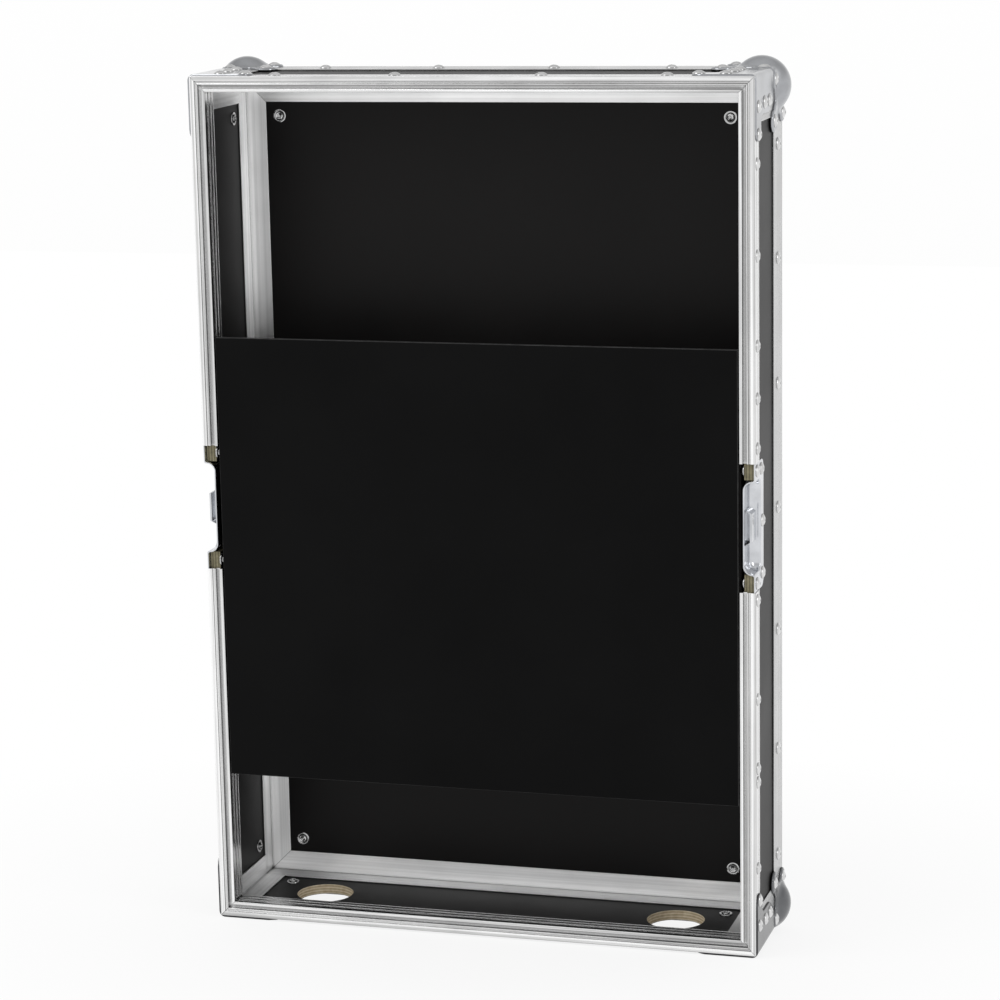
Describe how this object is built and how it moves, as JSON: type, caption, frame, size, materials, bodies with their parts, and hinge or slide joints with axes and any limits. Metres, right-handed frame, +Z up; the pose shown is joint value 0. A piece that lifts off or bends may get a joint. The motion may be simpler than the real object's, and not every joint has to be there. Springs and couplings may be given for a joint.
{
  "type": "flight case half",
  "caption": "Shallow open-fronted flight case half in black plywood and aluminium extrusion, with ball corners, half latch dishes, cable holes and a lift-out deck plate.",
  "frame": {"origin": "centre of the bounding box in X and Y, at the lowest point of the ball corners in Z", "axes": "+X across the width, -Y out of the open front, +Z up the height; the case stands upright as in normal use"},
  "size_m": [0.52, 0.13, 0.785],
  "materials": {
    "laminate": "black textured laminate on birch plywood, bare veneers at the cut edges",
    "extrusion": "bright drawn aluminium with fine lines along its length",
    "zinc_steel": "pressed sheet steel, bright zinc with a faint blue tint",
    "rivet_metal": "bright domed rivet heads",
    "washer_metal": "plain zinc washers",
    "deck": "black satin board",
    "batten": "black painted wood",
    "tape": "black hook-and-loop tape",
    "screw_metal": "black screws"
  },
  "bodies": {
    "case": {"back_panel": "laminate", "left_panel": "laminate", "right_panel": "laminate", "top_panel": "laminate", "bottom_panel": "laminate", "front_profile_top": "extrusion", "front_profile_bottom": "extrusion", "front_profile_left_upper": "extrusion", "front_profile_left_lower": "extrusion", "front_profile_right_upper": "extrusion", "front_profile_right_lower": "extrusion", "rear_angle_left": "extrusion", "rear_angle_right": "extrusion", "rear_angle_top": "extrusion", "rear_angle_bottom": "extrusion", "edge_angle_left_top": "extrusion", "edge_angle_right_top": "extrusion", "edge_angle_left_bottom": "extrusion", "edge_angle_right_bottom": "extrusion", "ball_corner_left_top": "zinc_steel", "ball_corner_right_top": "zinc_steel", "ball_corner_left_bottom": "zinc_steel", "ball_corner_right_bottom": "zinc_steel", "corner_brace_left_top": "zinc_steel", "corner_brace_right_top": "zinc_steel", "corner_brace_left_bottom": "zinc_steel", "corner_brace_right_bottom": "zinc_steel", "latch_dish_left": "zinc_steel", "latch_dish_right": "zinc_steel", "latch_keeper_left": "zinc_steel", "latch_keeper_right": "zinc_steel", "deck_batten_left": "batten", "deck_batten_right": "batten", "batten_screws": "screw_metal", "hook_tape_left": "tape", "hook_tape_right": "tape", "rear_rivets": "rivet_metal", "front_rivets": "rivet_metal", "ball_rivets": "rivet_metal", "brace_rivets": "rivet_metal", "dish_rivets": "rivet_metal", "rivet_washers": "washer_metal"},
    "deck": {"deck_plate": "deck", "loop_tape_left": "tape", "loop_tape_right": "tape"}
  },
  "joints": [
    {"name": "deck_lift_out", "type": "slide", "parent": "case", "child": "deck", "axis": [0, -1, 0], "range_m": [0, 0.15]}
  ]
}
